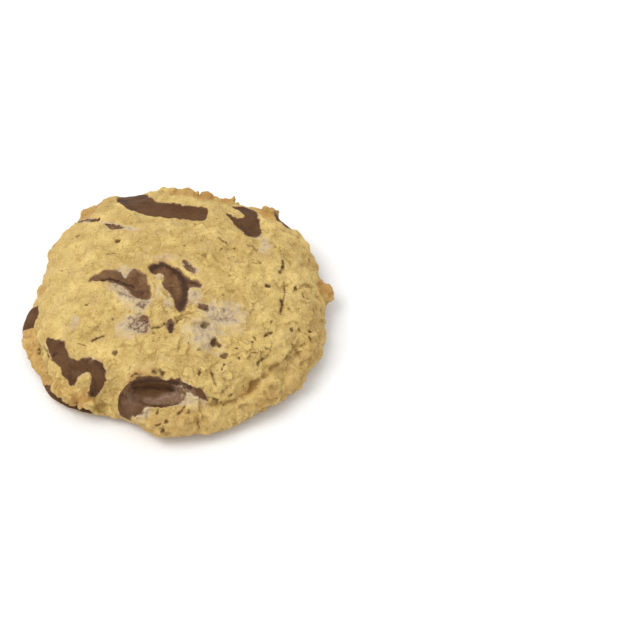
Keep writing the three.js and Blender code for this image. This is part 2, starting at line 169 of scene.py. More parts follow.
# Small holes in the top, in plan: x, y, half length, half width, turn in degrees, depth, darkness of their
# painted shade
PITS = [
    (-27.5, 18.5, 0.7, 0.25, 60, 0.5, 0.8), (-16, 14, 0.6, 0.4, -20, 0.5, 0.7),
    (-20, 30, 0.3, 0.2, 0, 0.4, 0.8),
    (-24, 5, 0.4, 0.2, 30, 0.4, 0.6), (-23, -8.5, 0.4, 0.25, 0, 0.4, 0.7),
    (-15.5, -14.5, 0.4, 0.2, 80, 0.4, 0.7),
    (13, 10, 0.25, 0.2, 0, 0.4, 0.9), (16.5, 11, 0.3, 0.2, 0, 0.4, 0.9), (19, 10, 0.25, 0.2, 0, 0.4, 0.8),
    (3, 10.5, 0.3, 0.2, 0, 0.4, 0.8), (26.5, -1.5, 0.8, 0.25, 75, 0.7, 0.9),
    (33.5, 0, 0.5, 0.2, 70, 0.5, 0.8),
    (38.5, -5, 0.4, 0.25, 60, 0.5, 0.8), (14, -6.5, 0.3, 0.2, 0, 0.4, 0.7),
    (9.7, -17.6, 1.3, 0.6, 60, 0.7, 0.6),
    (27.2, -13.8, 0.5, 0.2, 75, 0.4, 0.8), (25.8, -18.3, 0.8, 0.22, 48, 0.5, 1),
    (22, -20.9, 0.4, 0.25, 110, 0.5, 1),
    (17.8, -23.5, 0.4, 0.25, 20, 0.5, 1), (14.6, -25.7, 0.9, 0.6, 0, 0.5, 0.7),
    (18.6, -26.2, 0.4, 0.3, 20, 0.5, 0.8),
    (8.2, -31.8, 0.5, 0.4, 40, 0.6, 0.8), (14.8, -28.4, 0.3, 0.2, 60, 0.4, 0.8),
    (14.2, -29.8, 0.4, 0.15, 90, 0.4, 0.8),
    (11.9, -22.3, 1, 0.6, 70, 0.6, 0.8), (13.2, -22.9, 0.7, 0.35, -20, 0.5, 0.7),
    (8, -25, 0.6, 0.25, 30, 0.4, 0.5),
    (37.6, -15.3, 0.7, 0.25, -40, 0.6, 0.9), (37.4, -13.1, 0.6, 0.25, 20, 0.6, 0.8),
    (34.9, -13.8, 0.5, 0.2, -40, 0.5, 0.8),
    (32.6, -14.7, 0.4, 0.4, 90, 0.5, 0.6), (29.8, -7, 0.4, 0.35, 60, 0.7, 1),
    (-33.5, -22, 0.5, 0.3, 0, 0.6, 0.8),
    (-14.5, -24.5, 0.7, 0.4, 0, 0.5, 0.7), (-20.5, -19.5, 0.4, 0.25, 20, 0.5, 0.8),
    (15, -36.5, 0.4, 0.3, 0, 0.5, 0.8),
    (-3, -39.8, 0.4, 0.3, 60, 0.5, 0.7), (-1.4, -43.2, 0.4, 0.3, 0, 0.4, 0.7),
    (8, -42, 0.5, 0.25, 20, 0.4, 0.6),
    (-8.1, 27.6, 0.35, 0.15, 60, 0.3, 1), (-31, 5, 0.3, 0.2, 0, 0.3, 0.6), (24, 6, 0.3, 0.2, 40, 0.4, 0.7),
]

# Cracks, in plan: points of the line, half width, depth. They are darkened with painted shade.
CRACKS = [
    ([(3.9, -38.7), (4, -39.5), (3.4, -40), (2.7, -40.3)], 0.45, 1),
    ([(-4, -30.6), (-2.5, -30.7), (-1.4, -31.1)], 0.6, 0.6),
    ([(8.7, -36.5), (9.4, -36.6), (11.5, -35.7)], 0.35, 0.7),
    ([(-5.3, -17.8), (-2.8, -18.4), (-1.3, -17.3), (0, -17)], 0.4, 0.7),
    ([(-3, -42.3), (-2.2, -42.3)], 0.25, 0.4), ([(-0.9, -42), (0, -42)], 0.25, 0.4),
    ([(30.2, 1.2), (30.6, -3), (29.8, -6.8)], 0.22, 0.5),
    ([(14, 13), (14.8, 11.8)], 0.25, 0.6),
    ([(-18.3, 8.4), (-16, 9)], 0.2, 0.4),
    ([(-20.8, -19.8), (-19.6, -18.9), (-18, -19)], 0.35, 0.7),
    ([(-24.4, -20.8), (-22.6, -21.4)], 0.2, 0.4),
    ([(23.4, -26.8), (23.6, -25.9), (25.4, -24.7), (26.6, -23.7)], 0.25, 0.5),
    ([(0.6, -17.6), (2.2, -16.2), (4.4, -15.6)], 0.4, 0.8),
    ([(-37, -14.2), (-34.9, -18.9), (-33.4, -21.5), (-31.9, -23.4)], 0.3, 0.8),
    ([(-9.9, -31.4), (-8.6, -30.9), (-7.2, -31.2)], 0.25, 0.3),
    ([(-5, -18.8), (-4.3, -19.6)], 0.25, 0.5), ([(-20.8, -19.3), (-19.8, -18.6)], 0.25, 0.5),
    ([(-27.9, 18.5), (-27.1, 18.8)], 0.25, 0.5), ([(-16.4, 14.1), (-15.4, 13.6)], 0.3, 0.5),
    ([(30.2, 8.1), (29.8, 5.6), (29.1, 3.3)], 0.5, 0.4),
    ([(11.6, -30.8), (11.9, -32.2), (12.4, -33.4)], 0.4, 0.5),
    ([(29.6, -5.4), (29.7, -7.4), (29.5, -9.2)], 0.35, 0.8), ([(25.6, -0.7), (25.9, -2)], 0.35, 0.8),
    ([(35.4, -1), (35.6, -3)], 0.3, 0.7), ([(12.4, 13.9), (13.4, 12.9)], 0.3, 0.8),
    ([(26, -17.8), (27.2, -17)], 0.35, 0.8), ([(22.4, -19.4), (22.8, -20.2)], 0.35, 0.8),
    ([(8, -30.4), (8.4, -31.4)], 0.4, 0.8),
    ([(8.6, -36.3), (11.5, -35.8), (13.1, -36.1)], 0.4, 0.8),
    ([(15.8, -34.4), (17, -34)], 0.3, 0.6),
    ([(-22.6, -0.5), (-20, -0.9), (-17.8, -0.6)], 0.3, 0.5),
]

# A recess under the lumps at the lower right, which also gets painted shade, in plan: points, half width,
# depth
RECESS = ([(18.2, -33.7), (20.2, -32.7), (22, -31.2)], 1.1, 1.3)

# Ledges, where an upper layer of dough ends over a lower one, with painted shade at their foot, in plan:
# points, height, reach
LEDGES = [
    ([(9.6, -36.6), (13.4, -36.2), (17.4, -34.6), (20.6, -33), (22.2, -30.8), (24.4, -29.4),
      (26, -27)], 1.3, 2),
    ([(26, -27), (29.6, -24.6), (32.6, -20.4), (35, -16)], 0.7, 1.6),
    ([(36.4, -13.6), (38.2, -8.4), (38.6, -3)], 0.6, 1.5),
    ([(0.2, -17.9), (1.8, -15.2), (4.4, -13.4), (8, -12.6)], 0.7, 1.2),
]

# Where melted chocolate has tinted the dough, in plan: x, y, half widths, turn in degrees, strength
STAINS = [
    (5.6, -36.2, 2.6, 1.6, -10, 1), (8.6, -36.6, 2.4, 1, -30, 1), (-6.4, -39.2, 2.4, 1.4, 0, 0.9),
    (0.6, -37.6, 5, 1, 0, 0.6), (14, -13.5, 8.4, 6, -20, 0.95), (9.5, -20.5, 7, 6, 0, 0.8),
    (15, -10.5, 6, 3, 20, 0.6), (11, -12, 3.2, 1, 0, 1), (-12, -6.8, 8, 3.4, -40, 1.1),
    (-8, -10, 3.4, 3, 0, 1.3), (-3.6, -5.4, 1.8, 3.8, 5, 0.6), (-10.2, -14.6, 3.2, 2.2, 0, 0.9),
    (-11, -17.2, 4.8, 4.2, 15, 1), (-7.4, -12.2, 2, 2, 0, 0.6), (-15.2, 18.8, 7.5, 1.1, -14, 0.75),
    (-19, 21.2, 3, 1.1, -30, 0.7), (-25.4, 26.4, 4, 1.2, -40, 0.5), (24.8, 14, 2.4, 4.4, 10, 0.7),
    (24.2, 11, 1.5, 1.2, 0, 0.9), (-26, -13.8, 1.5, 4, -8, 0.6), (3.8, 2.6, 2.6, 1.2, -50, 0.9),
    (6.2, -7.4, 2.6, 4.4, 10, 1), (-0.8, -10, 1.6, 3, 15, 0.8), (-3.6, -0.8, 1.2, 1.6, 0, 0.7),
    (-3, 6, 6, 1.6, 0, 0.45), (-12.6, 1.6, 3, 2, -25, 0.8), (5.2, -37, 4.6, 2.2, -20, 0.7),
    (-8.4, -39.6, 4.5, 1.5, 0, 0.5), (-22.4, -29, 2.6, 1.2, 20, 0.3), (-33.4, -19.6, 0.9, 3, 25, 0.35),
]

# Darker lines and patches on the chocolate: its own darker tone, and painted shadow under the lip of the
# pocket, under the lip at the front left and along the crescent's overhanging edge. In plan: points of the
# line, half width, strength
DARK_TONES_AND_SHADOWS = [
    ([(-22.8, -1), (-20.1, -0.9), (-17.7, -0.4), (-14.9, -1.1), (-13, -2.2), (-10.7, -3.5)], 0.45, 1),
    ([(-12.6, -3.4), (-10.2, -5.2), (-8.2, -6.2)], 0.9, 0.5),
    ([(-6.3, 1.4), (-5.6, 2.8), (-3.3, 3.8), (-0.4, 2.4), (1.7, 0.6), (3, -1.9)], 0.8, 0.9),
    ([(3, -1.9), (3.7, -5.3), (3.1, -9.3), (2.4, -12.6)], 1.3, 0.8),
    ([(3.4, -2.4), (6.6, -3)], 0.6, 0.7),
    ([(-20.4, -25.6), (-18.6, -26.6), (-17.2, -28.4)], 0.7, 0.7),
    ([(-20.2, -30.2), (-19.6, -32.4), (-20.4, -33)], 0.5, 0.7),
    ([(-31.7, -22.6), (-30.6, -22.2)], 0.35, 1), ([(-29.6, -19.6), (-29.2, -20)], 0.4, 1),
    ([(-26.8, -26.4), (-26.4, -27.2)], 0.3, 0.8),
    ([(-17.2, 35.2), (-15.4, 33.4), (-14.9, 31.6)], 1.2, 0.7),
    ([(-15, 31), (-12.6, 27.2), (-11, 25.4)], 0.5, 0.5),
    ([(18, 21.4), (19.6, 18.6), (21.2, 16.4)], 0.6, 0.6),
    ([(19, 30.6), (21, 31)], 1, 0.5),
    ([(-9.2, -33), (-4.9, -32.5), (-0.9, -32.8), (3.2, -33.9), (6.3, -34.6)], 0.8, 1),
    ([(-9.8, -34.6), (-9.1, -33.9), (-8.7, -33.3)], 0.3, 1),
    ([(-3.2, -33), (-3.6, -32.4), (-3.9, -32.6)], 0.3, 1),
    ([(-12.5, -34.8), (-12.1, -35.6)], 0.3, 0.9), ([(-11.2, -35.2), (-11, -36)], 0.25, 0.8),
    ([(-13.1, -34.9), (-13, -35.6), (-13, -36)], 0.35, 1),
    ([(5.2, -33.2), (4.3, -33.4), (3.4, -33.6)], 0.35, 1),
    ([(-9.8, -18), (-8.6, -17.2), (-7.4, -16.4), (-6.4, -15.4)], 0.5, 0.9),
    ([(-36, -30), (-28.5, -30.9), (-24.2, -32.5), (-20, -34)], 3, 0.5),
    ([(0, -19.6), (0.6, -18), (1.6, -17.2)], 1.4, 1),
    ([(8, -11.9), (10.6, -12)], 0.7, 0.8),
]

# Paler, dusty places on the chocolate, in plan: x, y, half widths, turn in degrees, strength
BLOOMS = [
    (-20.9, -25.6, 2, 1.3, -30, 0.45), (-30.8, -20.2, 1.4, 1.4, 0, 0.25),
    (-18.6, 0.8, 3, 1, 8, 0.35), (-13.6, -3.8, 4, 1.2, -40, 0.9), (-12.8, 0.4, 1.4, 1.2, 0, 0.9),
    (7.2, -3.6, 1.8, 1.2, 0, 0.4), (-0.6, -7.6, 0.9, 3, 25, 0.6), (4.6, -35, 3.4, 1.8, -15, 0.7),
    (-12.6, -36.8, 1.4, 2, 0, 0.3), (0.6, -36.4, 5, 1.8, -5, 0.55), (-26.4, 27.4, 4, 1.6, -40, 0.6),
    (-16.8, 19.8, 3.4, 1.6, -28, 0.55), (22.6, 16.6, 1.8, 1.4, 0, 0.5), (-8, -17.2, 3.2, 3, 0, 1),
    (-40.5, -2, 2.5, 3, 0, 0.35), (-25, -28.8, 2.6, 1.4, -10, 0.3), (5.4, 2.4, 2.4, 2.4, 0, 0.5),
    (31, 29.4, 3, 3, 0, 0.5), (9.4, -11.6, 2, 1.4, 0, 0.4),
]

# Lighter brown floor of the pocket, partly paler chocolate and partly painted light where the floor catches
# the light, in plan: x, y, half widths, turn in degrees, strength
POCKET_FLOORS_PALE_AND_LIT = [
    (-4.2, -35.9, 3, 1.3, -10, 0.7), (-0.6, -35.4, 3.6, 1.4, 0, 0.9), (2.6, -35.1, 2.6, 1.4, 0, 1),
    (4.5, -34.9, 1.7, 1.3, 0, 1), (-5.4, -38.8, 1.6, 1.2, 30, 0.6),
    (-9.6, -36, 3.2, 2.4, -30, 0.25),
]

# Where the oven has browned the dough: x, y, z, radius, strength
TOASTS = [
    (-2.6, 5.9, 20.4, 2.8, 0.35), (-26.4, -32.4, 9.4, 3, 0.5),
    (-41.4, -8, 4.4, 4.6, 0.6), (-40, -14, 4.2, 4.6, 0.7), (-37.8, -19.6, 4.2, 4.4, 0.7),
    (-35, -24.6, 4.6, 4, 0.7), (-9, -32.2, 14.2, 2.6, 0.9), (-5.6, -31.2, 15.4, 2, 0.6),
    (1.4, 37.2, 13.2, 4, 0.65), (6.6, 35.6, 13.4, 3.6, 1), (15, 35.4, 12.4, 2, 0.6),
    (13.6, 34.4, 12.6, 1.8, 0.8),
    (25.6, 29.2, 13, 4, 0.75), (28, 30, 11, 3.6, 0.9), (41.4, 5.6, 6, 4.2, 1),
    (39.6, -2.4, 4, 2.6, 0.9), (23, 31.4, 13, 2, 0.5), (-34.6, 18, 9, 3, 0.5),
    (39.2, -10, 8.2, 4, 0.35), (38.7, -16, 8.4, 4, 0.35), (-37.3, 1.9, 11, 2.4, 0.9),
    (-41.6, -3.4, 3.6, 3, 0.9), (-30, -28, 5.5, 3.4, 0.7), (-26, -30.6, 7, 3.6, 0.75),
    (-21.8, -33, 8.4, 3, 0.6), (-8, -31.6, 14.8, 2.6, 0.7), (-4, -31.2, 15.4, 2.2, 0.6),
    (-25.2, 31.8, 10.4, 4, 0.8), (26, -33.4, 7.6, 5, 0.4), (33, -27.6, 5, 5, 0.4),
    (-28.6, -30.4, 5.4, 3.2, 0.8), (-24.2, -33, 6.6, 3.4, 0.85), (-20.4, -33.4, 8, 2.4, 0.7),
    (20.6, -33, 10, 2.4, 0.5),
    (5, -42.4, 4.8, 8, 0.45), (-38.4, -13, 4.2, 6, 0.5), (39, 14, 8, 4, 0.35),
]

# Loose crumbs stuck to the crust: x, y, z, radius
CRUMBS = [
    (2.6, 36, 13.4, 2.4), (7.9, 35.8, 12.9, 1.7), (10.4, 34.8, 12.8, 1.1), (11.7, 34.4, 12.3, 1.2),
    (13.2, 34.4, 12.3, 1),
    (15.4, 35, 12.2, 0.8), (15.6, 35.2, 13.2, 0.45), (-2.2, 36.6, 13, 1.9), (16.6, 33.4, 12, 0.8),
    (-37.4, 2.6, 9.4, 0.9), (-30, -29.4, 4.6, 1), (42, 5.6, 6.4, 1.6), (41.6, 8.2, 5.4, 1.4),
    (-28, -31.2, 5, 1.2), (-26, -32.8, 5.4, 1.2), (-23.8, -34, 5.8, 1.1), (-21.8, -34.8, 6.4, 1.1),
    (-20.6, -34.6, 7.6, 1), (-31.4, -27.2, 5, 0.9), (-24.6, -31.6, 9.2, 1.1), (-27.6, -29.8, 8.6, 1),
    (-21.4, -33, 9.2, 1), (24.6, 30, 14, 0.9), (26.6, 28.6, 14.4, 0.8), (5.2, 34.6, 15.2, 0.8),
    (37.8, -8, 11.4, 0.6), (35, 12, 12.4, 0.6), (39, -13.6, 5, 1), (39.4, 2.2, 8.8, 0.9),
    (41, -8, 5, 1.1), (38, -17.4, 5, 0.9),
]


# Fixed noise. A salt is a number that sets one pattern apart from the others.


def draw(i, j, k, salt):
    """A fixed draw between 0 and 1 for each point of a lattice."""
    h = (i * 73856093) ^ (j * 19349663) ^ (k * 83492791) ^ (salt * 65537 + 11)
    h = (h ^ ((h >> 13) & 0x7FFFFFF)) * 1274126177
    h = h ^ ((h >> 16) & 0xFFFFFF)
    return (h & 0xFFFFFF) / float(0x1000000)


def lattice(low, reach, salts):
    """Draws for the lattice points near the given ones: tables, each point's place in them, strides."""
    first = low.min(0) - reach
    shape = low.max(0) + reach + 1 - first
    i, j, k = np.indices(tuple(shape)).reshape(3, -1) + first[:, None]
    strides = np.array([shape[1] * shape[2], shape[2], 1])
    return [draw(i, j, k, salt) for salt in salts], ((low - first) * strides).sum(1), strides


def waves(p, size, salt):
    """Gradient noise of about -1 to 1, with features of the given size."""
    q = p / size
    low = np.floor(q).astype(np.int64)
    f = q - low
    s = f * f * f * (f * (f * 6 - 15) + 10)
    tables, place, strides = lattice(low, 1, [salt + 31 * n for n in range(3)])
    total = np.zeros(len(p))
    for corner in np.ndindex(2, 2, 2):
        at = place + (np.array(corner) * strides).sum()
        slope = sum((f[:, n] - corner[n]) * (tables[n][at] * 2 - 1) for n in range(3))
        weight = 1.0
        for n in range(3):
            weight = weight * (s[:, n] if corner[n] else 1 - s[:, n])
        total += weight * slope
    return total * 1.5


def cells(p, size, salt):
    """Distances to the nearest and next of scattered points, in cell sizes, and the nearest one's draw."""
    q = p / size
    low = np.floor(q).astype(np.int64)
    f = q - low
    tables, place, strides = lattice(low, 1, [salt, salt + 1, salt + 2, salt + 3])
    near = np.full(len(p), 9.0)
    second = near.copy()
    which = np.zeros(len(p), np.int64)
    for cell in np.ndindex(3, 3, 3):
        offset = np.array(cell) - 1
        at = place + (offset * strides).sum()
        d = sum((offset[n] + tables[n][at] - f[:, n]) ** 2 for n in range(3))
        closer = d < near
        second = np.where(closer, near, np.minimum(second, d))
        which = np.where(closer, at, which)
        near = np.where(closer, d, near)
    return np.sqrt(near), np.sqrt(second), tables[3][which]


def step(low, high, value):
    """A smooth step from 0 at low to 1 at high."""
    t = np.clip((value - low) / (high - low), 0, 1)
    return t * t * (3 - 2 * t)


# Meshes


def pull(items, field, width=1, kind=np.float32):
    """One field of all the items of a mesh, as an array."""
    out = np.empty(len(items) * width, kind)
    items.foreach_get(field, out)
    return out.reshape(-1, width) if width > 1 else out


def read(obj):
    """The points of a mesh, in mm."""
    return pull(obj.data.vertices, "co", 3).astype(float) / MM


def write(obj, co):
    obj.data.vertices.foreach_set("co", (co * MM).astype(np.float32).ravel())
    obj.data.update()


def normals_of(obj):
    return pull(obj.data.vertex_normals, "vector", 3).astype(float)


def edges_of(obj):
    return pull(obj.data.edges, "vertices", 2, np.int32)


def triangles_of(obj):
    obj.data.calc_loop_triangles()
    return pull(obj.data.loop_triangles, "vertices", 3, np.int32)


def build(name, parts):
    """A new object from pairs of points and triangles."""
    counts = np.cumsum([0] + [len(co) for co, _ in parts])
    co = np.concatenate([co for co, _ in parts])
    triangles = np.concatenate([t + start for (_, t), start in zip(parts, counts)])
    mesh = bpy.data.meshes.new(name)
    mesh.vertices.add(len(co))
    mesh.vertices.foreach_set("co", (co * MM).astype(np.float32).ravel())
    mesh.loops.add(3 * len(triangles))
    mesh.loops.foreach_set("vertex_index", triangles.astype(np.int32).ravel())
    mesh.polygons.add(len(triangles))
    mesh.polygons.foreach_set("loop_start", np.arange(len(triangles), dtype=np.int32) * 3)
    mesh.update(calc_edges=True)
    obj = bpy.data.objects.new(name, mesh)
    bpy.context.scene.collection.objects.link(obj)
    return obj


def spread(values, edges, rounds, strength=0.5):
    """Moves each value towards its neighbours' mean. strength is one number or one for each vertex."""
    a = np.concatenate([edges[:, 0], edges[:, 1]])
    b = np.concatenate([edges[:, 1], edges[:, 0]])
    count = np.maximum(np.bincount(a, minlength=len(values)), 1)
    out = values.copy()
    flat = out.ndim == 1
    if flat:
        out = out[:, None]
    weight = np.broadcast_to(np.asarray(strength, float), (len(values),))
    for _ in range(rounds):
        mean = np.stack([np.bincount(a, out[b, n], len(values)) / count for n in range(out.shape[1])], 1)
        out = out + (mean - out) * weight[:, None]
    return out[:, 0] if flat else out


def with_modifier(obj, kind, **settings):
    """Applies one modifier to the object's mesh."""
    modifier = obj.modifiers.new(kind, kind)
    for key, value in settings.items():
        setattr(modifier, key, value)
    graph = bpy.context.evaluated_depsgraph_get()
    done = bpy.data.meshes.new_from_object(obj.evaluated_get(graph))
    obj.modifiers.remove(modifier)
    old = obj.data
    obj.data = done
    bpy.data.meshes.remove(old)


def tree_of(points):
    tree = kdtree.KDTree(len(points))
    for n, p in enumerate(points):
        tree.insert(p, n)
    tree.balance()
    return tree


def from_piece(p, a, b):
    """Vectors in plan from the nearest points of the line from a to b, and those points."""
    dx, dy = b[0] - a[0], b[1] - a[1]
    t = np.clip(((p[:, 0] - a[0]) * dx + (p[:, 1] - a[1]) * dy) / (dx * dx + dy * dy), 0, 1)
    return p[:, 0] - a[0] - t * dx, p[:, 1] - a[1] - t * dy, a[0] + t * dx, a[1] + t * dy


def path_distance(p, path):
    """Distance in plan from an open line."""
    best = np.full(len(p), FAR)
    for a, b in zip(path, path[1:]):
        x, y, _, _ = from_piece(p, a, b)
        best = np.minimum(best, np.hypot(x, y))
    return best


# Outlines of the chunks


def outline(points):
    """A closed smooth line through the points, a little ragged, anticlockwise."""
    p = np.array(points, float) + SHIFT
    line = []
    for i in range(len(p)):
        a, b, c, d = p[i - 1], p[i], p[(i + 1) % len(p)], p[(i + 2) % len(p)]
        count = max(2, round(math.dist(b, c) / OUTLINE_STEP))
        for t in np.arange(count) / count:
            line.append(b + 0.5 * t * (c - a + t * (2 * a - 5 * b + 4 * c - d + t * (3 * (b - c) + d - a))))
    line = np.array(line)
    place = np.column_stack([line, np.zeros(len(line))])
    for size, far, salt in OUTLINE_WAVES:
        line += far * np.column_stack([waves(place, size, salt), waves(place, size, salt + 1)])
    area = np.sum(line[:, 0] * np.roll(line[:, 1], -1) - line[:, 1] * np.roll(line[:, 0], -1))
    return line if area > 0 else line[::-1]


def beyond(p, line):
    """Distance in plan from a closed line, negative inside it."""
    best = np.full(len(p), FAR)
    inside = np.zeros(len(p), bool)
    for a, b in zip(line, np.roll(line, -1, 0)):
        x, y, _, _ = from_piece(p, a, b)
        best = np.minimum(best, np.hypot(x, y))
        (ax, ay), (bx, by) = a, b
        if ay != by:
            crossing = (bx - ax) * (p[:, 1] - ay) / (by - ay) + ax
            inside ^= ((ay > p[:, 1]) != (by > p[:, 1])) & (p[:, 0] < crossing)
    return np.where(inside, -best, best)


OUTLINES = {name: (outline(points), base, top) for name, (points, base, top) in CHUNKS.items()}


def ledge_distance(p, path):
    """Distance in plan from a line, negative towards the middle, and a share that fades at its ends."""
    best = np.full(len(p), FAR)
    signed = np.full(len(p), FAR)
    for a, b in zip(path, path[1:]):
        x, y, on_x, on_y = from_piece(p, a, b)
        far = np.hypot(x, y)
        side = np.sign(x * on_x + y * on_y)
        signed = np.where(far < best, side * far, signed)
        best = np.minimum(best, far)
    ends = np.minimum(np.hypot(p[:, 0] - path[0][0], p[:, 1] - path[0][1]),
                      np.hypot(p[:, 0] - path[-1][0], p[:, 1] - path[-1][1]))
    return signed, step(0.0, 2.0, ends) * (best < 6)


def ellipse_share(p, x, y, wide, long, turn):
    """Distance in plan from the middle of an ellipse, 1 on its edge."""
    c, s = math.cos(math.radians(turn)), math.sin(math.radians(turn))
    dx, dy = p[:, 0] - x, p[:, 1] - y
    return np.hypot((dx * c + dy * s) / wide, (dy * c - dx * s) / long)


def is_melted(name):
    """The chunks and chips in the middle of the cookie have melted more than the others."""
    return "centre" in name or "chip" in name


def beyond_chunks(co):
    """Distance of each point from the nearest chunk, negative inside one, and that chunk's number."""
    away = np.full(len(co), float(REACH))
    which = np.full(len(co), -1)
    for n, (line, base, top) in enumerate(OUTLINES.values()):
        near = ((co[:, :2] > line.min(0) - REACH) & (co[:, :2] < line.max(0) + REACH)).all(1)
        near = np.flatnonzero(near & (co[:, 2] > base - REACH))
        far = np.maximum(beyond(co[near], line), base - co[near, 2])
        if top is not None:
            far = np.maximum(far, co[near, 2] - top)
        closer = far < away[near]
        away[near[closer]] = far[closer]
        which[near[closer]] = n
    return away, which


# The baked form, dough and chunks in one


def joined_solids():
    """The dough with each chunk grown sideways and down, so that it closes its socket."""
    parts = [(read(nodes["dough"]), triangles_of(nodes["dough"]))]
    for name in CHUNKS:
        obj = build("part", [(read(nodes[name]), triangles_of(nodes[name]))])
        with_modifier(obj, "REMESH", mode="VOXEL", voxel_size=CHUNK_FINE * MM, adaptivity=0.0)
        grown = normals_of(obj) * GROWN
        grown[:, 2] = np.minimum(grown[:, 2], 0)
        parts.append((read(obj) + grown, triangles_of(obj)))
        bpy.data.objects.remove(obj)
    obj = build("baked_form", parts)
    with_modifier(obj, "REMESH", mode="VOXEL", voxel_size=FINE * MM, adaptivity=0.0)
    return obj


def bulge(near, second):
    """The round top of each cell of a scattered pattern, 0 in its seams."""
    return 1 - (1 - np.clip((second - near) / 0.75, 0, 1)) ** 2


class Surface:
    """The points of the baked form, and what the relief and the colours need to know about each."""

    def __init__(self, co, normal, edges):
        self.co = co
        self.edges = edges
        self.up = normal[:, 2]
        self.rim = step(*RIM, np.hypot(co[:, 0], co[:, 1])) * step(0.5, 3, co[:, 2])
        self.shown = step(0.2, 2.2, co[:, 2])  # 0 at the table, where the form stays flat
        self.top = step(-0.1, 0.3, self.up)

        # Where a point is dough, and whether the nearest chunk has melted
        self.away, which = beyond_chunks(co)
        self.baked = step(-0.1, 0.5, self.away)
        self.centre = np.isin(which, [n for n, name in enumerate(CHUNKS) if is_melted(name)])

        # The warp bends the patterns. Some regions, the front right and the rim are lumpier than the rest.
        self.warp = np.stack([waves(co, 3.4, 40 + n) + 0.5 * waves(co, 1.6, 45 + n) for n in range(3)], 1)
        self.region = 0.5 + 0.5 * waves(co, 16, 3)
        self.side = step(-30, 40, co[:, 0] - co[:, 1])
        self.lumpy = np.clip(0.5 + 0.4 * self.region + 0.4 * self.side + 0.4 * self.rim, 0, 1.5)

        # The point as the tables measure it, and the same bent a little, which makes the marks ragged
        self.marks = co - MARKS_FROM
        ragged = self.marks[:, :2] + 0.3 * np.stack([waves(co, 1.1, 71), waves(co, 1.1, 72)], 1)
        ragged += 0.16 * np.stack([waves(co, 0.5, 73), waves(co, 0.5, 74)], 1)
        self.place = np.column_stack([ragged, co[:, 2]])


def lumps(s):
    """Swells of several sizes, and soft lumps parted by broken seams: height, seams, each lump's tint."""
    near, second, own = cells(s.co + 1.5 * s.warp, LUMP, 11)
    near_bump, second_bump, own_bump = cells(s.co + 0.4 * s.warp, BUMP, 31)
    lump, bump = bulge(near, second), bulge(near_bump, second_bump)
    out = sum(height * waves(s.co + share * s.warp, size, salt) for size, height, share, salt in SWELLS)
    out = s.lumpy * (out + LUMP_HEIGHT * (lump * (0.4 + 0.7 * own) - 0.4)
                     + BUMP_HEIGHT * (bump * (0.3 + own_bump) - 0.5))
    out += sum(height * waves(s.co, size, salt) for size, height, salt in RIPPLES)
    broken = step(0.0, 0.45, waves(s.co, 6, 8))
    seam = np.exp(-(((second - near) / 0.06) ** 2)) * broken * s.lumpy
    return out - SEAM_DEPTH * seam, seam, 0.3 * own * lump


def torn_layers(s):
    """The surface drops by a step along wandering lines that come and go: height, and the steps' foot, where
    painted shade goes.
    """
    level = 2.1 * waves(s.co + 1.3 * s.warp, LAYER, 14) + 0.5 * waves(s.co, 3, 15)
    level += (s.co[:, 0] - s.co[:, 1]) / 14
    part = level - np.floor(level)
    gate = step(-0.05, 0.4, waves(s.co, 8, 16) + 0.25 * s.side) * (0.4 + 0.6 * s.side)
    foot = gate * (step(0.9, 0.99, part) + (1 - step(0.0, 0.06, part)))
    return LAYER_HEIGHT * gate * (part - step(0.9, 1.0, part) - 0.45), np.clip(foot, 0, 1)


def short_cracks(s):
    """Short cracks, where a wandering line is let through: 1 in a crack."""
    split = np.abs(waves(s.co + 0.5 * s.warp, SPLIT, 17))
    through = step(0.25, 0.5, waves(s.co, 2.9, 18)) * (0.35 + 0.65 * s.side)
    return (1 - step(0.015, 0.055, split)) * through * s.shown


def crust(s):
    """The crust of the rim and of the lip at the front left is craggier: two heights."""
    x, y, z = s.co.T
    lip = np.exp(-((x + 26) ** 2 / 60 + (y + 31.5) ** 2 / 22)) * step(3.6, 5, z)
    front = s.rim * step(0, 25, -y) * step(-30, 10, x)
    craggy = (0.3 * step(-0.3, 0.4, waves(s.co, 9, 19)) + 0.12) * s.rim * (1 - front) + 1.2 * lip
    near, _, own = cells(s.co + 0.4 * s.warp, CRAG, 81)
    uneven = 0.16 * waves(s.co, 1.3, 98) + 0.12 * waves(s.co, 0.7, 99)
    uneven -= 0.5 * np.abs(waves(s.co + 0.4 * s.warp, 4.2, 100))
    return s.rim * uneven, np.clip(craggy, 0, 1.2) * (CRAG_HEIGHT * (1 - near ** 2) * (0.3 + own) - 0.4)


def holes(s):
    """Scattered small holes, then the holes and cracks in the tables: depth, and how dark they are, which is
    painted shade.
    """
    near, _, own = cells((s.co + 0.5 * s.warp) * (1, 1.7, 1.3), HOLE_SPACING, 51)
    hole = (1 - step(0.03, 0.1, near)) * (own > 0.45) * s.shown
    near, _, own = cells(s.co, DOT_SPACING, 61)
    dot = (1 - step(0.05, 0.15, near)) * (own > 0.7) * s.shown
    cut = HOLE_DEPTH * hole + DOT_DEPTH * dot
    pit = np.maximum(0.8 * hole, 0.55 * dot)
    for x, y, length, width, turn, depth, dark in PITS:
        share = ellipse_share(s.place, x, y, 1.2 * length, 1.35 * width, turn)
        bowl = np.clip(1.5 - share, 0, 1) * s.top
        cut = np.maximum(cut, depth * step(0, 1, bowl))
        pit = np.maximum(pit, min(1.25 * dark, 1) * step(0.15, 0.8, bowl))
    fray = 0.6 + 0.4 * waves(s.co, 1.2, 75)
    for path, width, depth in CRACKS:
        line = np.exp(-(path_distance(s.place, path) / (1.2 * width)) ** 2) * s.top * fray
        cut = np.maximum(cut, depth * line)
        pit = np.maximum(pit, step(0.15, 0.65, line))
    return cut, pit


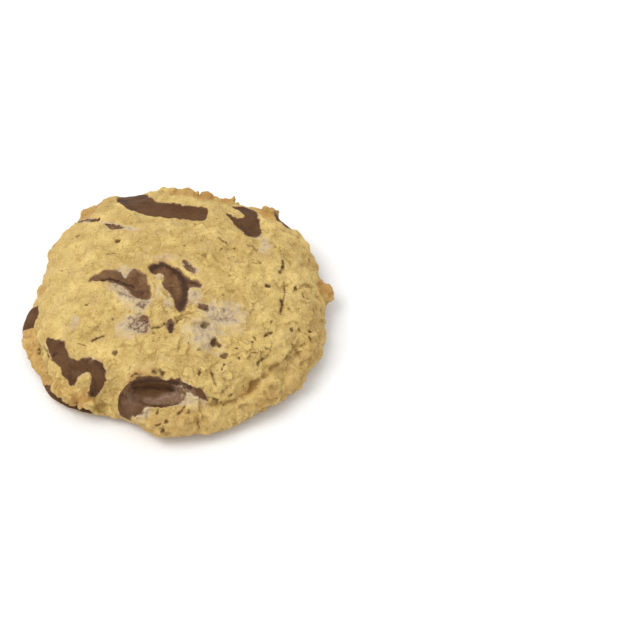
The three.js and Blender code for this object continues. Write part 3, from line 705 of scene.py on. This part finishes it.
def ledges(s):
    """The ledges in the table: height, and how near each point is to their foot, where painted shade goes.
    """
    drop = np.zeros(len(s.co))
    foot = np.zeros(len(s.co))
    for path, height, reach in LEDGES:
        across, shares = ledge_distance(s.place, path)
        fade = height * (0.75 + 0.35 * waves(s.co, 3, 76)) * shares * step(-0.4, 0.1, s.up)
        drop += fade * (0.4 * np.exp(-((across + 1.0) / 1.2) ** 2) * step(0.2, -0.2, across))
        drop -= fade * step(-0.25, 0.25, across) * np.exp(-(np.maximum(across, 0) / reach) ** 2)
        foot = np.maximum(foot, shares * np.exp(-((across - 0.35) / 0.45) ** 2))
    return drop, foot


def toasted(s, crest, blotch):
    """Where the oven has browned the dough: on the rim, the foot, the underside, and by the table. On the
    surfaces facing down by the table, the browning is also painted shade.
    """
    height = s.co[:, 2]
    heat = 0.5 + 0.5 * waves(s.co, 9, 91)
    spot = 0.5 + 0.5 * waves(s.co, 2.6, 92)
    toast = 0.6 * s.rim * step(0.45, 0.85, 0.5 * heat + 0.5 * spot + 0.12 * crest)
    low = 1 - step(1.5, 6.5, height)
    toast = np.maximum(toast, 0.35 * low * (0.3 + 0.7 * blotch))
    # Down-facing surfaces by the table: browned underside, and painted shade under the edge
    under = (1 - step(0.0, 0.9, height)) + (1 - s.top) * (1 - step(1.0, 2.2, height))
    toast = np.maximum(toast, np.clip(under, 0, 1) * (0.8 + 0.6 * heat))
    for x, y, z, radius, strength in TOASTS:
        share = np.linalg.norm(s.marks - (x, y, z), axis=1) / radius + 0.35 * waves(s.co, 2.2, 95)
        toast = np.maximum(toast, strength * (1 - step(0.5, 1.3, share)))
    return toast


def patches(s, table, blot, inner, outer):
    """The strongest of a table's blurred ellipses at each point."""
    best = np.zeros(len(s.co))
    for x, y, wide, long, turn, strength in table:
        share = ellipse_share(s.marks, x, y, wide, long, turn) + blot
        best = np.maximum(best, strength * (1 - step(inner, outer, share)))
    return best


def chocolate_masks(s):
    """How much chocolate the surface holds, from 0 in clean dough to 1 in a clean chunk, and its shades:
    darker places with painted shadow, and a paler pocket floor with painted light.
    """
    blot = 0.32 * waves(s.co, 2.4, 93) + 0.25 * waves(s.co, 0.9, 94)
    stain = patches(s, STAINS, blot, 0.1, 1.3) * s.top
    bloom = patches(s, BLOOMS, blot, 0.4, 1.2)
    soft = np.where(s.centre, 0.6, 0.22) * (1 + 0.9 * waves(s.co, 3.4, 96))
    cocoa = 0.5 - 0.5 * np.clip((s.away + 0.7 * soft * blot) / np.maximum(soft, 0.15), -1, 1)
    cocoa = np.where(s.away > 0, np.maximum(cocoa, 0.42 * stain), cocoa * (1 - 0.55 * bloom))
    dark = np.zeros(len(s.co))
    # The chocolate's darker tone, and painted shadow under the lips and overhanging edges
    for path, width, strength in DARK_TONES_AND_SHADOWS:
        share = path_distance(s.place, path) / width + 0.5 * blot
        dark = np.maximum(dark, strength * (1 - step(0.4, 1.2, share)) * s.top)
    haze = np.maximum(step(0.05, 0.35, stain), step(0.05, 0.35, bloom))
    return dict(cocoa=cocoa, haze=haze, dark=dark, pale=patches(s, POCKET_FLOORS_PALE_AND_LIT, 0.6 * blot, 0.5, 1.2))


def relief(s):
    """How far each point moves out, and the masks that colour it."""
    out, seam, own_tint = lumps(s)
    layers, foot = torn_layers(s)
    out += layers
    crack = short_cracks(s)
    out -= SPLIT_DEPTH * crack
    for part in crust(s):
        out += part
    cut, pit = holes(s)
    drop, under_ledge = ledges(s)
    path, width, depth = RECESS
    line = np.exp(-(path_distance(s.place, path) / width) ** 2) * s.top
    out = (out + drop - cut - depth * line) * s.baked

    # The chocolate is smoother and lies a little lower
    grain = np.where(s.centre, 0.5, 0.12)
    uneven = -CHOCOLATE_LOWER + grain * waves(s.co, 1.9, 101) + 0.5 * grain * waves(s.co, 0.9, 102)
    out += (1 - s.baked) * uneven
    out *= s.shown

    # Colour follows height: crests get a pale painted highlight, and creases, seams, the feet of steps and
    # ledges and the recess get a tan painted shade. The rim is toasted. Each lump has a tint of its own.
    near_level = spread(out, s.edges, NEAR_ROUNDS)
    far_level = spread(near_level, s.edges, FAR_ROUNDS)
    crest = step(0.03, 0.5, out - far_level)
    crease = 0.4 * step(0.02, 0.4, near_level - out) + 0.5 * step(0.05, 0.6, far_level - out)
    crease = np.clip(crease + 0.45 * seam + 0.45 * foot + 0.6 * under_ledge + 0.3 * line, 0, 1)
    blotch = 0.5 + 0.5 * waves(s.co + s.warp, 4.5, 90) + 0.25 * s.rim * waves(s.co, 1.8, 97)
    tint = spread(np.clip(own_tint + 0.25 * s.region + 0.6 * blotch - 0.1, 0, 1), s.edges, 3)
    masks = dict(crest=crest, crease=crease, tint=tint, toast=toasted(s, crest, blotch))
    # Painted shade in the holes and cracks
    masks["pit"] = np.clip(pit * s.baked + 0.75 * crack * s.baked, 0, 1)
    return out, {**masks, **chocolate_masks(s)}


def crumb_parts(co, normal):
    """Small uneven lumps, named ones and ones strewn over the rim."""
    ball = bmesh.new()
    bmesh.ops.create_icosphere(ball, subdivisions=2, radius=1)
    shape = np.array([v.co[:] for v in ball.verts])
    triangles = np.array([[v.index for v in f.verts] for f in ball.faces])
    ball.free()
    rng = np.random.default_rng(7)
    places = [np.array([*(np.array(c[:3]) + MARKS_FROM), c[3]]) for c in CRUMBS]
    r = np.hypot(co[:, 0], co[:, 1])
    clear, _ = beyond_chunks(co)
    on_rim = (clear > 1.5) & (r > 36) & (co[:, 2] > 3) & (co[:, 2] < 11) & (normal[:, 2] > -0.1)
    for n in rng.choice(np.flatnonzero(on_rim), RIM_CRUMBS, replace=False):
        size = rng.uniform(*RIM_CRUMB_SIZES)
        places.append(np.append(co[n] - 0.25 * size * normal[n], size))
    parts = []
    for n, (x, y, z, size) in enumerate(places):
        uneven = 1 + 0.45 * waves(shape * 1.3 + 9.7 * n, 1.0, 5)
        flat = rng.uniform(0.7, 1.15, 3)
        parts.append((shape * uneven[:, None] * flat * size + (x, y, z), triangles))
    return parts


def make_form():
    """The joined form, thinned, with its masks."""
    obj = joined_solids()
    co = read(obj)
    edges = edges_of(obj)

    # The solids' facets are smoothed away. The foot and the lip of the pocket stay crisper.
    weight = np.where(co[:, 2] < 0.35, CRISP_FOOT, SMOOTH)
    weight[np.linalg.norm((co - MARKS_FROM - POCKET[0]) / POCKET[1], axis=1) < 1.3] = CRISP_LIP
    co = spread(co, edges, SMOOTH_ROUNDS, weight)
    co[:, 2] = np.maximum(co[:, 2], 0)
    write(obj, co)

    normal = normals_of(obj)
    out, masks = relief(Surface(co, normal, edges))
    co = co + normal * out[:, None]
    co[:, 2] = np.maximum(co[:, 2], 0)
    turned_in = UNDERCUT * (1 - step(0, UNDERCUT_HEIGHT, co[:, 2]))
    half_width = cad_box[1][0] / MM
    co[:, :2] *= 1 - turned_in[:, None] / half_width
    tree = tree_of(co)

    crumbed = build("crumbed_form", [(co, triangles_of(obj))] + crumb_parts(co, normal))
    bpy.data.objects.remove(obj)
    with_modifier(crumbed, "REMESH", mode="VOXEL", voxel_size=FINE * MM, adaptivity=0.0)
    fine = spread(read(crumbed), edges_of(crumbed), 1, 0.4)
    fine[:, 2] = np.maximum(fine[:, 2], 0)
    write(crumbed, fine)
    with_modifier(crumbed, "TRIANGULATE")
    with_modifier(crumbed, "DECIMATE", ratio=DOUGH_FACES / len(crumbed.data.polygons))
    return crumbed, tree, masks


def prism(name, line, base, top):
    """A closed column over an outline."""
    count = len(line)
    low = [(x * MM, y * MM, base * MM) for x, y in line]
    high = [(x * MM, y * MM, top * MM) for x, y in line]
    sides = [(i, (i + 1) % count, count + (i + 1) % count, count + i) for i in range(count)]
    mesh = bpy.data.meshes.new(name)
    mesh.from_pydata(low + high, [], [tuple(range(count))[::-1], tuple(range(count, 2 * count))] + sides)
    obj = bpy.data.objects.new(name, mesh)
    bpy.context.scene.collection.objects.link(obj)
    with_modifier(obj, "TRIANGULATE", ngon_method="CLIP")
    return obj


def cut_edges(obj):
    """Marks the edge between a cut and the surface as sharp, so that the surface is shaded as if uncut."""
    mesh = obj.data
    centre = pull(mesh.polygons, "center", 3).astype(float) / MM
    cut = np.zeros(len(centre))
    for line, base, top in OUTLINES.values():
        near = ((centre[:, :2] > line.min(0) - 1) & (centre[:, :2] < line.max(0) + 1)).all(1)
        near = np.flatnonzero(near)
        on = np.abs(beyond(centre[near], line)) < ON_WALL
        on |= np.abs(centre[near, 2] - base) < ON_FLOOR
        if top is not None:
            on |= np.abs(centre[near, 2] - top) < ON_FLOOR
        cut[near[on]] = 1
    loop_edges = pull(mesh.loops, "edge_index", 1, np.int32)
    corners = pull(mesh.polygons, "loop_total", 1, np.int32)
    marked = np.bincount(loop_edges, np.repeat(cut, corners), len(mesh.edges))
    sharp = (marked > 0) & (marked < np.bincount(loop_edges, minlength=len(mesh.edges)))
    attribute = mesh.attributes.get("sharp_edge") or mesh.attributes.new("sharp_edge", "BOOLEAN", "EDGE")
    attribute.data.foreach_set("value", sharp)


def dress(piece, names, material):
    """Gives a cut piece its masks, from the nearest points of the whole form, and its material."""
    nearest = np.array([surface.find(p)[1] for p in read(piece)])
    for name in names:
        attribute = piece.data.attributes.new(name, "FLOAT", "POINT")
        attribute.data.foreach_set("value", np.clip(masks[name][nearest], 0, 1).astype(np.float32))
    cut_edges(piece)
    piece.data.materials.clear()
    piece.data.materials.append(material)
    piece.data.shade_smooth()


# Materials


class Nodes:
    """Short calls for a node material."""

    def __init__(self, name):
        self.material = bpy.data.materials.new(name)
        self.material.use_nodes = True
        self.tree = self.material.node_tree
        self.shader = self.tree.nodes["Principled BSDF"]
        self.place = self.tree.nodes.new("ShaderNodeTexCoord").outputs["Object"]

    def node(self, kind, inputs=None, **settings):
        n = self.tree.nodes.new(kind)
        for key, value in settings.items():
            setattr(n, key, value)
        for key, value in (inputs or {}).items():
            if isinstance(value, bpy.types.NodeSocket):
                self.tree.links.new(value, n.inputs[key])
            else:
                n.inputs[key].default_value = value
        return n

    def noise(self, per_metre, detail=3.0, rough=0.55):
        n = self.node(
            "ShaderNodeTexNoise",
            {"Vector": self.place, "Scale": per_metre, "Detail": detail, "Roughness": rough},
        )
        return n.outputs["Fac"]

    def dots(self, per_metre):
        """Distance to the nearest of scattered points, in cells."""
        n = self.node("ShaderNodeTexVoronoi", {"Vector": self.place, "Scale": per_metre})
        return n.outputs["Distance"]

    def mask(self, name):
        return self.node("ShaderNodeAttribute", attribute_name=name).outputs["Fac"]

    def band(self, value, low, high, to_low=0.0, to_high=1.0):
        n = self.node(
            "ShaderNodeMapRange",
            {"Value": value, "From Min": low, "From Max": high, "To Min": to_low, "To Max": to_high},
            clamp=True,
        )
        return n.outputs["Result"]

    def times(self, a, b):
        return self.node("ShaderNodeMath", {0: a, 1: b}, operation="MULTIPLY").outputs[0]

    def plus(self, a, b):
        return self.node("ShaderNodeMath", {0: a, 1: b}, operation="ADD", use_clamp=True).outputs[0]

    def mix(self, share, a, b):
        n = self.node("ShaderNodeMix", data_type="RGBA")
        for socket, value in ((n.inputs["Factor"], share), (n.inputs["A"], a), (n.inputs["B"], b)):
            if isinstance(value, bpy.types.NodeSocket):
                self.tree.links.new(value, socket)
            elif isinstance(value, tuple):
                socket.default_value = (*value, 1.0)
            else:
                socket.default_value = value
        return n.outputs["Result"]

    def set(self, socket, value):
        if isinstance(value, bpy.types.NodeSocket):
            self.tree.links.new(value, self.shader.inputs[socket])
        else:
            self.shader.inputs[socket].default_value = value

    def bump(self, height, strength, depth_mm):
        n = self.node("ShaderNodeBump", {"Height": height, "Strength": strength, "Distance": depth_mm * MM})
        self.tree.links.new(n.outputs["Normal"], self.shader.inputs["Normal"])


LIT_SHARE = 0.86  # a surface's colour, as a share of how it looks in this light


def tone(r, g, b):
    """A colour as it looks on the lit cookie, in sRGB, turned into the linear colour of the surface."""
    return tuple(LIT_SHARE * ((v / 255 + 0.055) / 1.055) ** 2.4 for v in (r, g, b))


DOUGH_TAN = tone(196, 165, 97)
DOUGH_YELLOW = tone(229, 199, 124)
DOUGH_DULL = tone(204, 174, 116)
# Painted highlight for the crests of the lumps
DOUGH_CREST_HIGHLIGHT = tone(240, 210, 130)
# Painted shade for creases, seams, the feet of ledges and the recess
DOUGH_CREASE_SHADE = tone(163, 127, 68)
DOUGH_TOASTED = tone(181, 130, 68)
SPECK_PALE, SPECK_BROWN = tone(246, 221, 148), tone(158, 124, 68)
GRAIN_PALE, GRAIN_BROWN = tone(248, 225, 156), tone(150, 116, 60)
DOT_BROWN = tone(112, 78, 36)
# Painted shade for holes and cracks
PIT_SHADE = tone(84, 56, 24)
PLAIN_TAN, PLAIN_YELLOW = tone(188, 158, 96), tone(222, 192, 116)
# Chocolate running into dough, clean and where it has bloomed
MILKY, MILKY_BLOOM = tone(186, 152, 98), tone(210, 189, 156)
BROWN, BROWN_BLOOM = tone(148, 114, 78), tone(174, 152, 125)
SMEAR = tone(122, 92, 66)
SMEARED_CHOCOLATE = tone(98, 68, 44)
SET_DARK, SET_LIGHT = tone(86, 57, 33), tone(101, 70, 43)
MELTED_DARK, MELTED_LIGHT = tone(94, 63, 38), tone(130, 95, 62)
CHOCOLATE_DUST = tone(150, 120, 96)
CHOCOLATE_DEEP = tone(72, 44, 30)
# Paler chocolate, also used as painted light on the pocket's floor
CHOCOLATE_PALE_AND_LIT = tone(176, 146, 124)
# The chocolate's darker tone, also used as painted shadow under lips and overhangs
CHOCOLATE_DARK_AND_SHADOW = tone(62, 40, 26)


def blend(m, baked, chocolate):
    """Dough and chocolate by the cocoa mask, mottled where they run into each other."""
    fine = m.plus(m.times(m.noise(520, 5, 0.7), 0.65), m.times(m.noise(1500, 3, 0.6), 0.35))
    shift = m.band(fine, 0.34, 0.66, -0.24, 0.24)
    here = m.mask("cocoa")
    between = m.times(m.band(here, 0.0, 0.22), m.band(here, 1.0, 0.75))
    share = m.plus(here, m.times(shift, between))
    haze = m.mask("haze")
    colour = m.mix(m.band(share, 0.04, 0.36, 0, 0.85), baked, m.mix(haze, MILKY, MILKY_BLOOM))
    colour = m.mix(m.band(share, 0.3, 0.46), colour, m.mix(haze, BROWN, BROWN_BLOOM))
    colour = m.mix(m.band(share, 0.44, 0.62), colour, SMEAR)
    return m.mix(m.band(share, 0.62, 0.85), colour, chocolate)


def plain_dough(m):
    """Dough as it shows through a smear on the chocolate."""
    return m.mix(m.noise(1700, 3, 0.7), PLAIN_TAN, PLAIN_YELLOW)


def dough_colour(m):
    tint = m.plus(m.mask("tint"), m.band(m.noise(140, 4, 0.6), 0.35, 0.65, -0.2, 0.2))
    colour = m.mix(m.band(tint, 0.25, 0.7), DOUGH_TAN, DOUGH_YELLOW)
    colour = m.mix(m.band(m.noise(230, 4, 0.6), 0.48, 0.62, 0, 0.6), colour, DOUGH_DULL)
    specks = m.noise(1700, 4, 0.75)
    colour = m.mix(m.band(specks, 0.53, 0.72, 0, 0.55), colour, SPECK_PALE)
    colour = m.mix(m.band(specks, 0.47, 0.27, 0, 0.6), colour, SPECK_BROWN)
    # Painted highlight on the crests
    colour = m.mix(m.times(m.mask("crest"), 0.5), colour, DOUGH_CREST_HIGHLIGHT)
    # Painted shade in the creases
    colour = m.mix(m.times(m.mask("crease"), 0.85), colour, DOUGH_CREASE_SHADE)
    toast = m.mask("toast")
    toast = m.plus(toast, m.times(toast, m.band(m.noise(420, 4), 0.4, 0.7, -0.4, 0.3)))
    colour = m.mix(m.times(toast, 0.85), colour, DOUGH_TOASTED)
    grain = m.noise(3400, 2, 0.6)
    colour = m.mix(m.band(grain, 0.54, 0.7, 0, 0.18), colour, GRAIN_PALE)
    colour = m.mix(m.band(grain, 0.46, 0.3, 0, 0.18), colour, GRAIN_BROWN)
    dot = m.times(m.band(m.dots(950), 0.24, 0.12), m.band(m.noise(300, 2), 0.4, 0.6, 0.0, 0.8))
    return m.mix(dot, colour, DOT_BROWN)


def dough_material():
    m = Nodes("baked dough")
    colour = blend(m, dough_colour(m), SMEARED_CHOCOLATE)
    # Painted shade in the holes and cracks
    m.set("Base Color", m.mix(m.times(m.mask("pit"), 0.95), colour, PIT_SHADE))
    m.set("Roughness", m.band(m.noise(600, 3), 0.3, 0.7, 0.65, 0.9))
    m.set("Specular IOR Level", 0.2)
    grain = m.plus(m.times(m.noise(2600, 4, 0.65), 0.5), m.times(m.noise(1000, 3), 0.5))
    m.bump(grain, 0.9, 0.5)
    return m.material


def chocolate_material(name, deep, light, gloss, rough):
    m = Nodes(name)
    colour = m.mix(m.band(m.noise(260, 4), 0.35, 0.65), deep, light)
    dust = m.band(m.noise(1300, 4, 0.7), 0.56, 0.74, 0, 0.2 + 0.5 * rough)
    colour = m.mix(dust, colour, CHOCOLATE_DUST)
    hollows = m.times(m.band(m.noise(900, 5, 0.75), 0.5, 0.35), rough)
    colour = m.mix(hollows, colour, CHOCOLATE_DEEP)
    # Pale streaks on the pocket's floor, partly paler chocolate and partly painted light
    streaks = m.times(m.mask("pale"), m.band(m.noise(1100, 4, 0.7), 0.35, 0.65, 0.5, 1.0))
    colour = m.mix(m.times(streaks, 0.85), colour, CHOCOLATE_PALE_AND_LIT)
    # Darker tone of the chocolate, and painted shadow under lips and overhanging edges
    shade = m.mask("dark")
    colour = m.mix(m.times(shade, 0.85), colour, CHOCOLATE_DARK_AND_SHADOW)
    colour = blend(m, plain_dough(m), colour)
    colour = m.mix(m.times(m.band(shade, 0.6, 0.9), 0.7), colour, CHOCOLATE_DARK_AND_SHADOW)
    m.set("Base Color", colour)
    m.set("Roughness", m.band(m.noise(500, 3), 0.3, 0.7, gloss, gloss + 0.18))
    m.set("Specular IOR Level", 0.12)
    m.bump(m.plus(m.times(m.noise(2200, 4, 0.6), 0.4), m.times(m.noise(700, 3), 0.6)), 0.5 + rough, 0.3)
    return m.material


# Put together

form, surface, masks = make_form()
columns = {}
for name, (line, base, top) in OUTLINES.items():
    columns[name] = prism("column_" + name, line, base, CLEAR_ABOVE if top is None else top)

matt = chocolate_material("set chocolate", SET_DARK, SET_LIGHT, 0.6, 0.0)
melted = chocolate_material("melted chocolate", MELTED_DARK, MELTED_LIGHT, 0.42, 0.6)
for name, column in columns.items():
    chunk = form.copy()
    chunk.data = form.data.copy()
    chunk.name = "chocolate_" + name
    bpy.context.scene.collection.objects.link(chunk)
    with_modifier(chunk, "BOOLEAN", operation="INTERSECT", object=column, solver="MANIFOLD")
    dress(chunk, ["cocoa", "dark", "pale", "haze"], melted if is_melted(name) else matt)
    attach(chunk, "root")
    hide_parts(name)

dough = form
dough.name = "baked_dough"
cutter = build("cutter", [(read(column), triangles_of(column)) for column in columns.values()])
with_modifier(dough, "BOOLEAN", operation="DIFFERENCE", object=cutter, solver="MANIFOLD")
dress(dough, ["crest", "crease", "toast", "pit", "tint", "cocoa", "haze"], dough_material())
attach(dough, "root")
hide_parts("dough")
for column in [*columns.values(), cutter]:
    bpy.data.objects.remove(column)


# Surroundings

bpy.ops.mesh.primitive_plane_add(size=4, location=(0, 0, -0.0001))
floor = bpy.context.object
floor.name = "table"
white = Nodes("white table")
white.set("Base Color", (0.85, 0.85, 0.85, 1))
white.set("Roughness", 0.9)
floor.data.materials.append(white.material)

world = bpy.data.worlds.new("studio")
world.use_nodes = True
sky = world.node_tree.nodes["Background"]
sky.inputs["Color"].default_value = (1, 1, 1, 1)
sky.inputs["Strength"].default_value = SKY_STRENGTH
bpy.context.scene.world = world


def softbox(name, place, aim, size, power):
    lamp = bpy.data.lights.new(name, "AREA")
    lamp.shape = "SQUARE"
    lamp.size = size
    lamp.energy = power
    obj = bpy.data.objects.new(name, lamp)
    obj.location = place
    obj.rotation_euler = (Vector(aim) - Vector(place)).to_track_quat("-Z", "Y").to_euler()
    bpy.context.scene.collection.objects.link(obj)


softbox("key", KEY_PLACE, (0, 0, 0), KEY_SIZE, KEY_POWER)

scene = bpy.context.scene
scene.view_settings.view_transform = "Standard"
lens = bpy.data.cameras.new("camera")
lens.lens = LENS
lens.sensor_width = 36
lens.clip_start = 0.01
camera = bpy.data.objects.new("camera", lens)
tilt = math.radians(CAMERA_ELEVATION)
camera.location = (
    AIM[0] * MM,
    (AIM[1] - DISTANCE * math.cos(tilt)) * MM,
    (AIM[2] + DISTANCE * math.sin(tilt)) * MM,
)
camera.rotation_euler = (math.radians(90) - tilt, 0, 0)
scene.collection.objects.link(camera)
scene.camera = camera
